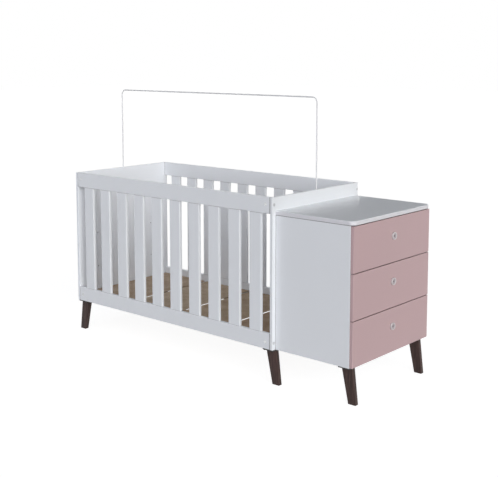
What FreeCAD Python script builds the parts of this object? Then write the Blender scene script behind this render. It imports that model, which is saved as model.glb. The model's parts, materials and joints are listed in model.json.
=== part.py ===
import FreeCAD, Part
import os

from FreeCAD import Vector

# A slatted crib with a three-drawer dresser built onto its right-hand end.
# X runs along the crib towards the dresser, Y from front to back, Z up.
# The origin is on the floor, under the middle of the whole piece.
# All sizes are in millimetres.

# Overall sizes
crib_length = 1330.0
crib_depth = 644.0
crib_height = 840.0
dresser_length = 410.0
dresser_drop = 60.0
dresser_setback = 22.0

# Boards of the crib
panel_thickness = 15.0
panel_edge_radius = 2.0
rail_thickness = 18.0
top_rail_height = 73.0
bottom_rail_height = 72.0
rail_edge_radius = 2.0

# Slats, tenoned into both rails of each side
slat_count = 10
slat_width = 68.0
slat_thickness = 15.0
slat_end_gap = 51.7
slat_edge_radius = 3.0
tenon_length = 12.0
tenon_shoulder = 6.0
tenon_cheek = 3.5
tenon_clearance = 0.2
mortise_spare_depth = 1.0

# Legs and the plates that hold them
leg_height = 157.0
leg_thickness = 22.0
leg_top_width = 54.0
leg_foot_width = 38.0
leg_splay = 19.0
leg_end_inset = 2.0
leg_side_inset = 26.0
leg_edge_radius = 2.5
leg_plate_length = 61.0
leg_plate_width = 64.0
leg_plate_inset = 4.0
leg_plate_thickness = 6.0
leg_plate_corner_radius = 5.0

# Wood screws that hold the leg plates to the boards above
screw_radius = 1.8
screw_depth = 12.0
screw_head_radius = 4.0
screw_head_height = 2.5
screw_edge_distance = 10.0
pilot_clearance = 0.2
pilot_spare_depth = 1.0

# Countersunk bolts that hold each leg to its plate
leg_bolt_radius = 2.5
leg_bolt_depth = 35.0
leg_bolt_head_radius = 5.0
leg_bolt_head_height = 2.5
leg_bolt_clearance = 0.2
leg_bolt_spare_depth = 1.0

# Bolts with barrel nuts, which join the rails to the end panels
bolt_radius = 3.0
bolt_hole_clearance = 0.25
bolt_head_radius = 6.5
bolt_head_height = 2.5
bolt_socket_radius = 2.3
bolt_socket_depth = 1.5
bolt_edge_distance = 32.0
bolt_past_nut = 9.0
nut_radius = 7.5
nut_length = 14.0
nut_from_rail_end = 25.0
nut_recess = 0.5
nut_slot_width = 1.6
nut_slot_depth = 1.5
nut_thread_clearance = 0.15
nut_pocket_clearance = 0.2
bolt_spare_depth = 2.0

# Mattress base: four thin boards on two bearers that hang on support bolts
base_above_bolt = 12.0
base_board_count = 4
base_board_thickness = 4.0
base_board_gap = 18.0
base_clearance = 2.0
bearer_width = 25.0
bearer_height = 30.0
bearer_edge_distance = 130.0
bearer_end_gap = 1.0
support_bolt_lift = 3.5
middle_hole_rise = 136.0
upper_hole_rise = 318.0
support_bolt_reach = 20.0
notch_clearance = 0.4
notch_seat_gap = 0.3
notch_spare_length = 2.0

# Canopy rod
rod_radius = 3.2
canopy_rise = 420.0
rod_corner_radius = 25.0
rod_socket_depth = 60.0
rod_socket_clearance = 0.05

# Dresser case
top_thickness = 18.0
top_overhang = 2.0
top_lip = 3.0
top_corner_radius = 28.0
top_edge_radius = 3.0
side_thickness = 15.0
bottom_thickness = 15.0
case_edge_radius = 1.0

# Round wooden dowels in the dresser case, and smaller ones in the drawers
dowel_radius = 4.0
dowel_face_depth = 9.0
dowel_edge_depth = 16.0
dowel_from_end = 60.0
dowel_from_front = 80.0
dowel_from_middle = 150.0
small_dowel_radius = 3.0
small_dowel_face_depth = 8.0
small_dowel_edge_depth = 12.0
small_dowel_from_edge = 20.0
dowel_clearance = 0.1
dowel_spare_depth = 0.5

# Drawers
drawer_count = 3
front_thickness = 15.0
front_gap = 3.0
front_bottom_reveal = 2.0
front_side_reveal = 2.0
front_edge_radius = 2.0
front_seat_gap = 0.3
box_wall = 12.0
box_height = 120.0
box_length = 350.0
box_lift = 32.0
tray_thickness = 3.0
tray_lift = 9.0
tray_groove_depth = 5.0
tray_groove_clearance = 0.1

# Drawer runners: a channel on the case and a smaller one on the drawer
runner_space = 12.5
runner_metal = 1.5
runner_height = 35.0
runner_length = 345.0
runner_flange = 9.5
runner_play = 0.3
runner_lift = 30.0
runner_front_gap = 2.5
runner_screw_radius = 1.6
runner_screw_reach = 10.0
runner_screw_head_radius = 3.2
runner_screw_head_height = 1.8
runner_screw_from_end = 40.0

# Knobs
knob_radius = 16.0
knob_projection = 8.0
knob_neck_radius = 9.0
knob_neck_length = 2.0
knob_rim_height = 4.0
knob_rim_width = 3.0
knob_rim_round = 1.2
knob_dish_depth = 2.0
knob_above_middle = 18.0
knob_screw_radius = 2.0
knob_screw_reach = 4.0
knob_screw_head_radius = 4.0
knob_screw_head_height = 2.5
knob_screw_clearance = 0.2
knob_screw_spare_depth = 0.5

# One overrun serves all cuts. Edges count as parallel above this share of a perfect match.
overrun = 5.0
parallel_share = 0.999

# Places worked out from the sizes
foot_overhang = leg_splay - leg_end_inset
face_to_lip = crib_length + dresser_length - top_lip
total_length = foot_overhang + face_to_lip + knob_projection
crib_left = foot_overhang - total_length / 2
crib_right = crib_left + crib_length
inner_left = crib_left + panel_thickness
inner_right = crib_right - panel_thickness
inner_length = inner_right - inner_left
crib_front = -crib_depth / 2
crib_back = crib_depth / 2
case_bottom = leg_height + leg_plate_thickness
dresser_height = crib_height - dresser_drop
rod_top_height = crib_height + canopy_rise
support_bolt_height = case_bottom + bottom_thickness + bolt_head_radius + support_bolt_lift
middle_hole_height = support_bolt_height + middle_hole_rise
upper_hole_height = support_bolt_height + upper_hole_rise
base_top_height = support_bolt_height + base_above_bolt
slat_bottom = case_bottom + bottom_rail_height
slat_top = crib_height - top_rail_height
slat_pitch = (inner_length - 2 * slat_end_gap - slat_width) / (slat_count - 1)
dresser_end = crib_right + dresser_length
drawer_face = dresser_end - top_lip
drawer_back = drawer_face - front_thickness
case_front = drawer_back - front_seat_gap
dresser_front = crib_front + dresser_setback
dresser_back = crib_back - dresser_setback
top_underside = dresser_height - top_thickness
front_room = top_underside - case_bottom - front_bottom_reveal
front_height = front_room / drawer_count - front_gap
case_inside = dresser_back - side_thickness
box_outside = case_inside - runner_space
box_inside = box_outside - box_wall
box_back = drawer_back - box_length
bolt_hole_radius = bolt_radius + bolt_hole_clearance

ALONG = Vector(1, 0, 0)
ACROSS = Vector(0, 1, 0)
UP = Vector(0, 0, 1)


def block(x0, x1, y0, y1, z0, z1):
    """A box between two corners."""
    low = Vector(min(x0, x1), min(y0, y1), min(z0, z1))
    return Part.makeBox(abs(x1 - x0), abs(y1 - y0), abs(z1 - z0), low)


def edges_along(shape, axis):
    """The straight edges of a shape that run along one axis."""
    found = []
    for edge in shape.Edges:
        run = edge.Vertexes[-1].Point - edge.Vertexes[0].Point
        if run.Length > 0 and abs(run.normalize().dot(axis)) > parallel_share:
            found.append(edge)
    return found


def soften(shape, axes, radius):
    """Round the edges that run along the given axes."""
    edges = []
    for axis in axes:
        edges += edges_along(shape, axis)
    return shape.makeFillet(radius, edges)


def bar(start, axis, radius, length):
    """A round bar or bore from a start point along an axis."""
    return Part.makeCylinder(radius, length, start, axis)


def screw(place, axis, radius, reach, head_radius, head_height):
    """A screw that enters at a place, with its low head outside."""
    shank = bar(place, axis, radius, reach)
    head = bar(place, axis * -1, head_radius, head_height)
    return shank.fuse(head).removeSplitter()


def drill(board, bores):
    """Take each bore out of a board."""
    for bore in bores:
        board = board.cut(bore)
    return board


def dowel(joint, axis):
    """A case dowel: through a joint, along an axis that points into a board's edge."""
    length = dowel_face_depth + dowel_edge_depth
    return bar(joint - axis * dowel_face_depth, axis, dowel_radius, length)


def dowel_bore(joint, axis):
    start = joint - axis * (dowel_face_depth + dowel_spare_depth)
    length = dowel_face_depth + dowel_edge_depth + 2 * dowel_spare_depth
    return bar(start, axis, dowel_radius + dowel_clearance, length)


def small_dowel(joint, axis):
    """A drawer dowel, placed the same way."""
    length = small_dowel_face_depth + small_dowel_edge_depth
    return bar(joint - axis * small_dowel_face_depth, axis, small_dowel_radius, length)


def small_dowel_bore(joint, axis):
    start = joint - axis * (small_dowel_face_depth + dowel_spare_depth)
    length = small_dowel_face_depth + small_dowel_edge_depth + 2 * dowel_spare_depth
    return bar(start, axis, small_dowel_radius + dowel_clearance, length)


def extrude_outline(points, run):
    """A solid from a closed outline of points, pushed along a vector."""
    wire = Part.makePolygon(points + [points[0]])
    return Part.Face(wire).extrude(run)


# Corner bolts. Each of the eight is a place, with its direction along X.
def corner_bolt_places():
    places = []
    for y in (crib_front + rail_thickness / 2, crib_back - rail_thickness / 2):
        for z in (case_bottom + bolt_edge_distance, crib_height - bolt_edge_distance):
            places.append((crib_left, y, z, 1))
            places.append((crib_right, y, z, -1))
    return places


def bolt(x, y, z, inward, reach):
    """A bolt with a low round head on the outer face and a hex-sized socket."""
    outer = Vector(x, y, z)
    axis = ALONG * inward
    shank = bar(outer, axis, bolt_radius, reach)
    head = bar(outer, axis * -1, bolt_head_radius, bolt_head_height)
    socket_start = outer - axis * (bolt_head_height - bolt_socket_depth)
    socket = bar(socket_start, axis * -1, bolt_socket_radius, bolt_socket_depth)
    return shank.fuse(head).cut(socket).removeSplitter()


def nut_place(x, y, z, inward):
    """The outer end of a barrel nut, and the way it points into the rail."""
    side = -1 if y < 0 else 1
    face = side * crib_depth / 2 - side * nut_recess
    along = x + inward * (panel_thickness + nut_from_rail_end)
    return Vector(along, face, z), ACROSS * -side


def barrel_nut(x, y, z, inward):
    """A round cross nut with a screwdriver slot in its outer end."""
    start, axis = nut_place(x, y, z, inward)
    body = bar(start, axis, nut_radius, nut_length)
    tapped_start = Vector(start.x - nut_radius, y, z)
    tapped = bar(tapped_start, ALONG, bolt_radius + nut_thread_clearance, 2 * nut_radius)
    half_slot = nut_slot_width / 2
    slot = block(start.x - nut_radius, start.x + nut_radius,
                 start.y, start.y + axis.y * nut_slot_depth,
                 z - half_slot, z + half_slot)
    return body.cut(tapped).cut(slot)


def support_bolt_places():
    places = []
    for y in (crib_front + bearer_edge_distance, crib_back - bearer_edge_distance):
        places.append((crib_left, y, support_bolt_height, 1))
        places.append((crib_right, y, support_bolt_height, -1))
    return places


def end_panel(outer_x, inward):
    """A crib end, drilled for its bolts, the base's three heights and the rod."""
    inner_x = outer_x + inward * panel_thickness
    panel = block(outer_x, inner_x, crib_front, crib_back, case_bottom, crib_height)
    panel = soften(panel, (UP,), panel_edge_radius)
    top_edges = [e for e in edges_along(panel, ACROSS) if e.CenterOfMass.z > case_bottom]
    panel = panel.makeFillet(panel_edge_radius, top_edges)
    start_x = outer_x - inward * overrun
    length = panel_thickness + 2 * overrun
    for x, y, z, direction in corner_bolt_places():
        if direction == inward:
            hole = bar(Vector(start_x, y, z), ALONG * inward, bolt_hole_radius, length)
            panel = panel.cut(hole)
    for y in (crib_front + bearer_edge_distance, crib_back - bearer_edge_distance):
        for z in (support_bolt_height, middle_hole_height, upper_hole_height):
            hole = bar(Vector(start_x, y, z), ALONG * inward, bolt_hole_radius, length)
            panel = panel.cut(hole)
    socket_x = (outer_x + inner_x) / 2
    socket = bar(Vector(socket_x, 0, crib_height - rod_socket_depth), UP,
                 rod_radius + rod_socket_clearance, rod_socket_depth + overrun)
    panel = panel.cut(socket)
    for place in crib_plate_screws():
        if abs(place.x - socket_x) < panel_thickness / 2:
            panel = panel.cut(screw_pilot(place))
    if outer_x == crib_right:
        panel = drill(panel, [dowel_bore(*place) for place in case_dowel_places()])
    return panel


def slat_left_edges():
    first = inner_left + slat_end_gap
    return [first + i * slat_pitch for i in range(slat_count)]


def rail(side, z_low, z_high, mortise_face, into_rail):
    """A side rail with a row of mortises, and bores for its bolts and nuts."""
    outer_y = side * crib_depth / 2
    inner_y = outer_y - side * rail_thickness
    board = block(inner_left, inner_right, outer_y, inner_y, z_low, z_high)
    board = soften(board, (ALONG,), rail_edge_radius)
    middle_y = (outer_y + inner_y) / 2
    half_tenon = slat_thickness / 2 - tenon_cheek + tenon_clearance
    depth = tenon_length + mortise_spare_depth
    for left in slat_left_edges():
        x0 = left + tenon_shoulder - tenon_clearance
        x1 = left + slat_width - tenon_shoulder + tenon_clearance
        board = board.cut(block(x0, x1, middle_y - half_tenon, middle_y + half_tenon,
                                mortise_face - into_rail * overrun,
                                mortise_face + into_rail * depth))
    for x, y, z, inward in corner_bolt_places():
        if y * side > 0 and z_low < z < z_high:
            reach = panel_thickness + nut_from_rail_end + bolt_past_nut + bolt_spare_depth
            board = board.cut(bar(Vector(x, y, z), ALONG * inward, bolt_hole_radius, reach))
            start, axis = nut_place(x, y, z, inward)
            pocket_start = start - axis * overrun
            pocket_depth = overrun + nut_length + nut_pocket_clearance
            board = board.cut(bar(pocket_start, axis, nut_radius + nut_pocket_clearance, pocket_depth))
    for place in crib_plate_screws():
        if place.y * side > abs(inner_y) and z_low == case_bottom:
            if inner_left < place.x < inner_right:
                board = board.cut(screw_pilot(place))
    return board


def slat(side, left):
    """An upright slat with rounded long edges and a stub tenon at each end."""
    middle_y = side * (crib_depth - rail_thickness) / 2
    half = slat_thickness / 2
    body = block(left, left + slat_width, middle_y - half, middle_y + half,
                 slat_bottom, slat_top)
    body = soften(body, (UP,), slat_edge_radius)
    half_tenon = half - tenon_cheek
    tenon = block(left + tenon_shoulder, left + slat_width - tenon_shoulder,
                  middle_y - half_tenon, middle_y + half_tenon,
                  slat_bottom - tenon_length, slat_top + tenon_length)
    return body.fuse(tenon).removeSplitter()


# Legs. Each has the end face it stands under, the way it splays and the side it is near.
def leg_places():
    return {
        "front_left_leg": (crib_left, -1, crib_front, 1),
        "back_left_leg": (crib_left, -1, crib_back, -1),
        "front_middle_leg": (crib_right, 1, crib_front, 1),
        "back_middle_leg": (crib_right, 1, crib_back, -1),
        "front_right_leg": (case_front, 1, dresser_front, 1),
        "back_right_leg": (case_front, 1, dresser_back, -1),
    }


def leg(end_x, splay, side_y, inward):
    """A flat tapered leg that leans out along the crib, bored at its top for a bolt."""
    top_outer = end_x - splay * leg_end_inset
    foot_outer = top_outer + splay * leg_splay
    y0 = side_y + inward * leg_side_inset
    outline = [
        Vector(top_outer, y0, leg_height),
        Vector(top_outer - splay * leg_top_width, y0, leg_height),
        Vector(foot_outer - splay * leg_foot_width, y0, 0),
        Vector(foot_outer, y0, 0),
    ]
    body = extrude_outline(outline, ACROSS * (inward * leg_thickness))
    slanted = []
    for edge in body.Edges:
        ends = [v.Point.z for v in edge.Vertexes]
        if max(ends) - min(ends) > leg_height / 2:
            slanted.append(edge)
    body = body.makeFillet(leg_edge_radius, slanted)
    depth = leg_bolt_depth + leg_bolt_spare_depth
    place = leg_bolt_place(end_x, splay, side_y, inward)
    bore = bar(place, UP * -1, leg_bolt_radius + leg_bolt_clearance, depth + leg_plate_thickness)
    return body.cut(bore)


def leg_bolt_place(end_x, splay, side_y, inward):
    """The middle of a leg's top, on the upper face of its plate."""
    x = end_x - splay * (leg_end_inset + leg_top_width / 2)
    y = side_y + inward * (leg_side_inset + leg_thickness / 2)
    return Vector(x, y, case_bottom)


def leg_bolt(place, growth):
    """A countersunk bolt down through a plate into a leg, or its space when grown."""
    down = UP * -1
    radius = leg_bolt_radius + growth
    head_radius = leg_bolt_head_radius + growth
    shank = bar(place, down, radius, leg_plate_thickness + leg_bolt_depth)
    head = Part.makeCone(head_radius, radius, leg_bolt_head_height, place, down)
    return shank.fuse(head).removeSplitter()


def plate_corners(end_x, splay, side_y, inward):
    x_far = end_x - splay * leg_plate_length
    y_near = side_y + inward * leg_plate_inset
    return x_far, y_near, y_near + inward * leg_plate_width


def crib_plate_screws():
    """One screw into the end panel's lower edge and one into the bottom rail, per leg."""
    places = []
    for end_x, splay, side_y, inward in leg_places().values():
        if end_x != case_front:
            x_far, y_near, y_far = plate_corners(end_x, splay, side_y, inward)
            places.append(Vector(end_x - splay * panel_thickness / 2,
                                 y_far - inward * screw_edge_distance, leg_height))
            places.append(Vector(x_far + splay * screw_edge_distance,
                                 side_y + inward * rail_thickness / 2, leg_height))
    return places


def dresser_plate_screws():
    """Two screws per leg into the dresser's bottom board."""
    places = []
    for end_x, splay, side_y, inward in leg_places().values():
        if end_x == case_front:
            x_far, y_near, y_far = plate_corners(end_x, splay, side_y, inward)
            y = y_far - inward * screw_edge_distance
            places.append(Vector(end_x - splay * screw_edge_distance, y, leg_height))
            places.append(Vector(x_far + splay * screw_edge_distance, y, leg_height))
    return places


def screw_pilot(place):
    reach = leg_plate_thickness + screw_depth + pilot_spare_depth
    return bar(place, UP, screw_radius + pilot_clearance, reach)


def leg_screw(place):
    reach = leg_plate_thickness + screw_depth
    return screw(place, UP, screw_radius, reach, screw_head_radius, screw_head_height)


def leg_plate(end_x, splay, side_y, inward):
    """A flat plate screwed under the case, with the leg on its lower face."""
    x_far, y_near, y_far = plate_corners(end_x, splay, side_y, inward)
    plate = block(end_x, x_far, y_near, y_far, leg_height, case_bottom)
    plate = soften(plate, (UP,), leg_plate_corner_radius)
    places = crib_plate_screws() + dresser_plate_screws()
    plate = drill(plate, [screw_pilot(place) for place in places])
    return plate.cut(leg_bolt(leg_bolt_place(end_x, splay, side_y, inward), leg_bolt_clearance))


def base_boards():
    """Thin boards side by side, with a gap between neighbours."""
    left = inner_left + base_clearance
    right = inner_right - base_clearance
    gaps = base_board_gap * (base_board_count - 1)
    width = (right - left - gaps) / base_board_count
    front = crib_front + rail_thickness + base_clearance
    back = crib_back - rail_thickness - base_clearance
    boards = []
    for i in range(base_board_count):
        x0 = left + i * (width + base_board_gap)
        boards.append(block(x0, x0 + width, front, back,
                            base_top_height - base_board_thickness, base_top_height))
    return boards


def base_bearer(side):
    """A long bearer under the boards, notched at both ends to sit on a support bolt."""
    middle = side * (crib_depth / 2 - bearer_edge_distance)
    top = base_top_height - base_board_thickness
    half = bearer_width / 2
    body = block(inner_left + bearer_end_gap, inner_right - bearer_end_gap,
                 middle - half, middle + half, top - bearer_height, top)
    notch_half = bolt_radius + notch_clearance
    notch_top = support_bolt_height + bolt_radius + notch_seat_gap
    notch_reach = support_bolt_reach + notch_spare_length
    for end_x, inward in ((inner_left, 1), (inner_right, -1)):
        body = body.cut(block(end_x - inward * overrun, end_x + inward * notch_reach,
                              middle - notch_half, middle + notch_half,
                              top - bearer_height - overrun, notch_top))
    return body


def canopy_rod():
    """One bent rod: up from a crib end, across and down into the other end."""
    left_x = crib_left + panel_thickness / 2
    right_x = crib_right - panel_thickness / 2
    low = crib_height - rod_socket_depth
    bend_z = rod_top_height - rod_corner_radius
    upright = bend_z - low
    across = right_x - left_x - 2 * rod_corner_radius
    rod = bar(Vector(left_x, 0, low), UP, rod_radius, upright)
    rod = rod.fuse(bar(Vector(right_x, 0, low), UP, rod_radius, upright))
    top_start = Vector(left_x + rod_corner_radius, 0, rod_top_height)
    rod = rod.fuse(bar(top_start, ALONG, rod_radius, across))
    for x, side in ((left_x, 1), (right_x, -1)):
        centre = Vector(x + side * rod_corner_radius, 0, bend_z)
        ring = Part.makeTorus(rod_corner_radius, rod_radius, centre, ACROSS)
        keep = block(x - side * 2 * rod_radius, centre.x, -2 * rod_radius, 2 * rod_radius,
                     bend_z, rod_top_height + 2 * rod_radius)
        rod = rod.fuse(ring.common(keep))
    return rod.removeSplitter()


def case_dowel_places():
    """Each is a joint and the way into the board whose edge is drilled there."""
    side_middle = case_inside + side_thickness / 2
    bottom_middle = case_bottom + bottom_thickness / 2
    near = crib_right + dowel_from_front
    far = case_front - dowel_from_front
    places = []
    for hand in (-1, 1):
        for z in (case_bottom + dowel_from_end, top_underside - dowel_from_end):
            places.append((Vector(crib_right, hand * side_middle, z), ALONG))
        for x in (near, far):
            places.append((Vector(x, hand * side_middle, top_underside), UP * -1))
            places.append((Vector(x, hand * case_inside, bottom_middle), ACROSS * -hand))
        places.append((Vector(crib_right, hand * dowel_from_middle, bottom_middle), ALONG))
    return places


def dresser_top():
    """The dresser's top board, with rounded outer corners and eased edges."""
    board = block(crib_right, dresser_end, dresser_front - top_overhang,
                  dresser_back + top_overhang, top_underside, dresser_height)
    outer = [e for e in edges_along(board, UP) if e.CenterOfMass.x > crib_right]
    board = board.makeFillet(top_corner_radius, outer)
    rims = []
    for edge in board.Edges:
        flat = abs(edge.BoundBox.ZMax - edge.BoundBox.ZMin) < top_edge_radius / 2
        if flat and edge.CenterOfMass.x > crib_right + top_edge_radius:
            rims.append(edge)
    board = board.makeFillet(top_edge_radius, rims)
    return drill(board, [dowel_bore(*place) for place in case_dowel_places()])


def dresser_side(side):
    """An upright side board of the dresser."""
    outer = dresser_back * side
    board = block(crib_right, case_front, outer, outer - side * side_thickness,
                  case_bottom, top_underside)
    front_edges = [e for e in edges_along(board, UP) if e.CenterOfMass.x > crib_right]
    board = board.makeFillet(case_edge_radius, front_edges)
    for index in range(drawer_count):
        board = drill(board, [runner_screw_bore(place, ACROSS * side)
                              for place in case_runner_screws(side, index)])
    return drill(board, [dowel_bore(*place) for place in case_dowel_places()])


def dresser_bottom():
    """The board between the two sides, which carries the outer legs."""
    board = block(crib_right, case_front, -case_inside, case_inside,
                  case_bottom, case_bottom + bottom_thickness)
    board = drill(board, [screw_pilot(place) for place in dresser_plate_screws()])
    return drill(board, [dowel_bore(*place) for place in case_dowel_places()])


# Drawers, numbered from the bottom
def front_low(index):
    return case_bottom + front_bottom_reveal + index * (front_height + front_gap)


def channel(x0, x1, web_y, open_side, reach, z0, z1):
    """A folded metal channel with its web at web_y and two flanges."""
    web = block(x0, x1, web_y, web_y + open_side * runner_metal, z0, z1)
    lower = block(x0, x1, web_y, web_y + open_side * reach, z0, z0 + runner_metal)
    upper = block(x0, x1, web_y, web_y + open_side * reach, z1 - runner_metal, z1)
    return web.fuse(lower).fuse(upper).removeSplitter()


def runner_low(index):
    return front_low(index) + box_lift + runner_lift


def runner_screw_places(x1, y, index):
    """Two screws on a runner's middle line, at a distance from its ends."""
    z = runner_low(index) + runner_height / 2
    low = x1 - runner_length + runner_screw_from_end
    high = x1 - runner_screw_from_end
    return [Vector(low, y, z), Vector(high, y, z)]


def case_runner_screws(side, index):
    y = side * (case_inside - runner_metal)
    return runner_screw_places(case_front - runner_front_gap, y, index)


def drawer_runner_screws(side, index):
    y = side * (box_outside + runner_metal)
    return runner_screw_places(drawer_back - runner_front_gap, y, index)


def runner_screw(place, axis):
    return screw(place, axis, runner_screw_radius, runner_screw_reach,
                 runner_screw_head_radius, runner_screw_head_height)


def runner_screw_bore(place, axis):
    reach = runner_screw_reach + pilot_spare_depth
    return bar(place, axis, runner_screw_radius + pilot_clearance, reach)


def case_runner(side, index):
    """The runner channel screwed to a dresser side."""
    z0 = runner_low(index)
    x1 = case_front - runner_front_gap
    body = channel(x1 - runner_length, x1, side * case_inside, -side, runner_flange,
                   z0, z0 + runner_height)
    return drill(body, [runner_screw_bore(place, ACROSS * side)
                        for place in case_runner_screws(side, index)])


def drawer_runner(side, index):
    """The smaller channel on the drawer, which rides inside the case's channel."""
    z0 = runner_low(index) + runner_metal + runner_play
    x1 = drawer_back - runner_front_gap
    height = runner_height - 2 * runner_metal - 2 * runner_play
    reach = runner_space - runner_metal - runner_play
    body = channel(x1 - runner_length, x1, side * box_outside, side, reach, z0, z0 + height)
    return drill(body, [runner_screw_bore(place, ACROSS * -side)
                        for place in drawer_runner_screws(side, index)])


def drawer_dowel_places(index):
    """Two dowels at each end of each side board, into the front and into the back."""
    z0 = front_low(index) + box_lift
    places = []
    for hand in (-1, 1):
        for z in (z0 + small_dowel_from_edge, z0 + box_height - small_dowel_from_edge):
            places.append((Vector(drawer_back, hand * (box_outside - box_wall / 2), z),
                           ALONG * -1))
            places.append((Vector(box_back + box_wall / 2, hand * box_inside, z),
                           ACROSS * -hand))
    return places


def knob_height(index):
    return front_low(index) + front_height / 2 + knob_above_middle


def drawer_front(index):
    """The drawer's painted front, bored for its dowels and its knob's screw."""
    half = dresser_back - front_side_reveal
    z0 = front_low(index)
    board = block(drawer_back, drawer_face, -half, half, z0, z0 + front_height)
    board = soften(board, (ACROSS, UP), front_edge_radius).cut(tray_slot(index))
    board = drill(board, [small_dowel_bore(*place) for place in drawer_dowel_places(index)])
    start = Vector(drawer_back - overrun, 0, knob_height(index))
    return board.cut(bar(start, ALONG, knob_screw_radius + knob_screw_clearance,
                         front_thickness + 2 * overrun))


def tray_board(index, clearance):
    """The drawer's thin bottom board, grown by a clearance in height only."""
    half = box_inside + tray_groove_depth
    z0 = front_low(index) + box_lift + tray_lift
    x0 = box_back + box_wall - tray_groove_depth
    x1 = drawer_back + tray_groove_depth
    return block(x0, x1, -half, half, z0 - clearance, z0 + tray_thickness + clearance)


def tray_slot(index):
    return tray_board(index, tray_groove_clearance)


def drawer_side(side, index):
    """A side board of the drawer, bored for dowels and for its runner's screws."""
    z0 = front_low(index) + box_lift
    board = block(box_back, drawer_back, side * box_outside, side * box_inside,
                  z0, z0 + box_height)
    board = board.cut(tray_slot(index))
    board = drill(board, [runner_screw_bore(place, ACROSS * -side)
                          for place in drawer_runner_screws(side, index)])
    return drill(board, [small_dowel_bore(*place) for place in drawer_dowel_places(index)])


def drawer_back_board(index):
    """The back board, which stands between the two sides."""
    z0 = front_low(index) + box_lift
    board = block(box_back, box_back + box_wall, -box_inside, box_inside, z0, z0 + box_height)
    board = board.cut(tray_slot(index))
    return drill(board, [small_dowel_bore(*place) for place in drawer_dowel_places(index)])


def knob(index):
    """A turned knob: a neck that flares into a rim round a shallow dish."""
    rim_base = knob_projection - knob_rim_height
    neck = bar(Vector(0, 0, 0), ALONG, knob_neck_radius, knob_neck_length)
    flare = Part.makeCone(knob_neck_radius, knob_radius, rim_base - knob_neck_length,
                          Vector(knob_neck_length, 0, 0), ALONG)
    rim = bar(Vector(rim_base, 0, 0), ALONG, knob_radius, knob_rim_height)
    body = neck.fuse(flare).fuse(rim).removeSplitter()
    front_edges = [e for e in body.Edges if e.BoundBox.XMin > knob_projection - knob_rim_round]
    body = body.makeFillet(knob_rim_round, front_edges)
    dish_edge = knob_radius - knob_rim_width
    dish_radius = (dish_edge ** 2 + knob_dish_depth ** 2) / (2 * knob_dish_depth)
    dish_centre = Vector(knob_projection - knob_dish_depth + dish_radius, 0, 0)
    body = body.cut(Part.makeSphere(dish_radius, dish_centre))
    body = body.cut(bar(Vector(-overrun, 0, 0), ALONG, knob_screw_radius + knob_screw_clearance,
                        overrun + knob_screw_reach + knob_screw_spare_depth))
    body.translate(Vector(drawer_face, 0, knob_height(index)))
    return body


def knob_screw(index):
    """The screw that comes through the drawer front from inside and holds the knob."""
    place = Vector(drawer_back, 0, knob_height(index))
    return screw(place, ALONG, knob_screw_radius, front_thickness + knob_screw_reach,
                 knob_screw_head_radius, knob_screw_head_height)


def save(name, shapes):
    """Write one sub-part, a single solid or a group of separate ones."""
    if not isinstance(shapes, list):
        shapes = [shapes]
    shape = shapes[0] if len(shapes) == 1 else Part.makeCompound(shapes)
    shape.exportStep(os.path.join("parts", name + ".step"))
    box = shape.BoundBox
    print(f"{name:24s} solids {len(shape.Solids):2d}  volume {shape.Volume / 1000:9.1f} cm3  "
          f"z {box.ZMin:7.1f} to {box.ZMax:7.1f}  valid {shape.isValid()}")


os.makedirs("parts", exist_ok=True)

save("left_end_panel", end_panel(crib_left, 1))
save("shared_end_panel", end_panel(crib_right, -1))
for side_name, side in (("front", -1), ("back", 1)):
    save(side_name + "_top_rail", rail(side, slat_top, crib_height, slat_top, 1))
    save(side_name + "_bottom_rail", rail(side, case_bottom, slat_bottom, slat_bottom, -1))
    save(side_name + "_slats", [slat(side, left) for left in slat_left_edges()])

bolt_reach = panel_thickness + nut_from_rail_end + bolt_past_nut
save("corner_bolts", [bolt(*place, bolt_reach) for place in corner_bolt_places()])
save("barrel_nuts", [barrel_nut(*place) for place in corner_bolt_places()])
support_reach = panel_thickness + support_bolt_reach
save("support_bolts", [bolt(*place, support_reach) for place in support_bolt_places()])

for name, place in leg_places().items():
    save(name, leg(*place))
save("leg_plates", [leg_plate(*place) for place in leg_places().values()])
save("leg_bolts", [leg_bolt(leg_bolt_place(*place), 0) for place in leg_places().values()])
plate_screws = crib_plate_screws() + dresser_plate_screws()
save("leg_screws", [leg_screw(place) for place in plate_screws])

save("base_boards", base_boards())
save("base_bearers", [base_bearer(-1), base_bearer(1)])
save("canopy_rod", canopy_rod())

save("dresser_top", dresser_top())
save("dresser_front_side", dresser_side(-1))
save("dresser_back_side", dresser_side(1))
save("dresser_bottom", dresser_bottom())
save("case_dowels", [dowel(*place) for place in case_dowel_places()])
levels = range(drawer_count)
save("case_runners", [case_runner(side, index) for index in levels for side in (-1, 1)])
save("case_runner_screws", [runner_screw(place, ACROSS * side)
                            for index in levels for side in (-1, 1)
                            for place in case_runner_screws(side, index)])

for index, level in enumerate(("bottom", "middle", "top")):
    drawer = level + "_drawer_"
    save(drawer + "front", drawer_front(index))
    save(drawer + "left_side", drawer_side(-1, index))
    save(drawer + "right_side", drawer_side(1, index))
    save(drawer + "back", drawer_back_board(index))
    save(drawer + "tray", tray_board(index, 0))
    save(drawer + "dowels", [small_dowel(*place) for place in drawer_dowel_places(index)])
    save(drawer + "runners", [drawer_runner(side, index) for side in (-1, 1)])
    save(drawer + "runner_screws", [runner_screw(place, ACROSS * -side)
                                    for side in (-1, 1)
                                    for place in drawer_runner_screws(side, index)])
    save(drawer + "knob", knob(index))
    save(drawer + "knob_screw", knob_screw(index))
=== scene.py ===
# %% [markdown]
# # A slatted crib with a dresser on its end
# The crib is lacquered white. It stands on six splayed legs of dark wood, a dresser with three rose
# drawers is built onto its right end, and one thin rod bends over it to carry a net.
# The rigid pieces come from the CAD model, in metres, each in its place. This lesson adds the camera, the
# light and the finishes, and models the pieces whose hand-rounded shape deserves more than the CAD gives.

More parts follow.
